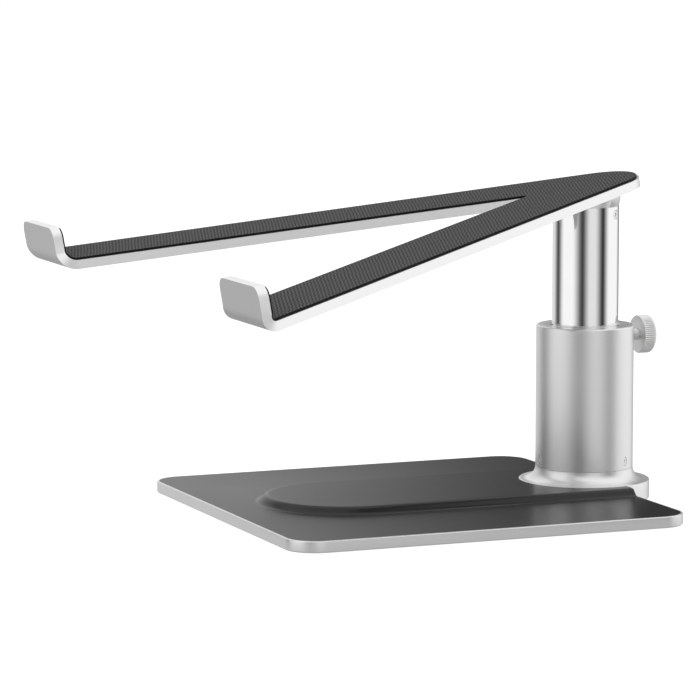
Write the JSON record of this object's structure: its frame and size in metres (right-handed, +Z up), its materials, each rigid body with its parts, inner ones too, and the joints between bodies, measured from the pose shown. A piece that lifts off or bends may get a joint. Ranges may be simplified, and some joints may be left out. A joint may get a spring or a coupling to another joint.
{
  "type": "laptop stand",
  "caption": "Height-adjustable laptop stand: V-shaped padded rest with front lips on a sliding column, clamped by a rear thumbscrew, over a flat square base.",
  "frame": {"origin": "on the table, under the column's axis, at the centre of the rubber pad below the column's foot", "axes": "+X to the user's right along the lips, +Y to the back, away from the user, +Z up along the column"},
  "size_m": [0.2906, 0.2374, 0.1399],
  "materials": {
    "satin_plate": "satin anodised flat metal with a bright cut edge",
    "satin_base": "fine satin nickel with a bright cut edge",
    "satin_column": "fine bead-blasted satin",
    "chrome_tube": "polished chrome",
    "top_skin": "matt charcoal fine grain",
    "rest_pad": "matt charcoal with a fine raised weave",
    "underside_rubber": "matt black",
    "steel_bar": "mill finish",
    "screw_steel": "zinc plated",
    "brass_insert": "turned",
    "guide_plastic": "natural acetal",
    "knob_metal": "knurled, bead-blasted satin"
  },
  "bodies": {
    "base": {"base_plate": "satin_base", "spine_bar": "steel_bar", "base_top_skin": "top_skin", "underside_sheet": "underside_rubber", "foot_pad": "underside_rubber", "spine_screws": "screw_steel", "column_foot": "satin_column", "foot_screws": "screw_steel", "sleeve": "satin_column", "sleeve_set_screws": "screw_steel", "guide_bush": "guide_plastic", "threaded_insert": "brass_insert"},
    "head": {"lift_tube": "chrome_tube", "tube_end_plug": "guide_plastic", "guide_ring": "guide_plastic", "slide_key": "screw_steel", "head_boss": "satin_column", "boss_set_screws": "screw_steel", "arm_plate": "satin_plate", "arm_screws": "screw_steel", "arm_pad": "rest_pad"},
    "clamp": {"clamp_pad": "guide_plastic"},
    "thumbscrew": {"thumbscrew_stud": "screw_steel", "thumbscrew_knob": "knob_metal"}
  },
  "joints": [
    {"name": "column_lift", "type": "slide", "parent": "base", "child": "head", "axis": [0, 0, 1], "range_m": [-0.05, 0]},
    {"name": "clamp_travel", "type": "slide", "parent": "base", "child": "clamp", "axis": [0, 1, 0], "range_m": [0, 0.0008]},
    {"name": "thumbscrew_turn", "type": "hinge", "parent": "clamp", "child": "thumbscrew", "pos_m": [0, 0.02, 0.0695], "axis": [0, 1, 0], "range_deg": [0, 360]}
  ],
  "couplings": [
    {"joint": "thumbscrew_turn", "follows": "clamp_travel", "rad_per_m": 7854}
  ]
}
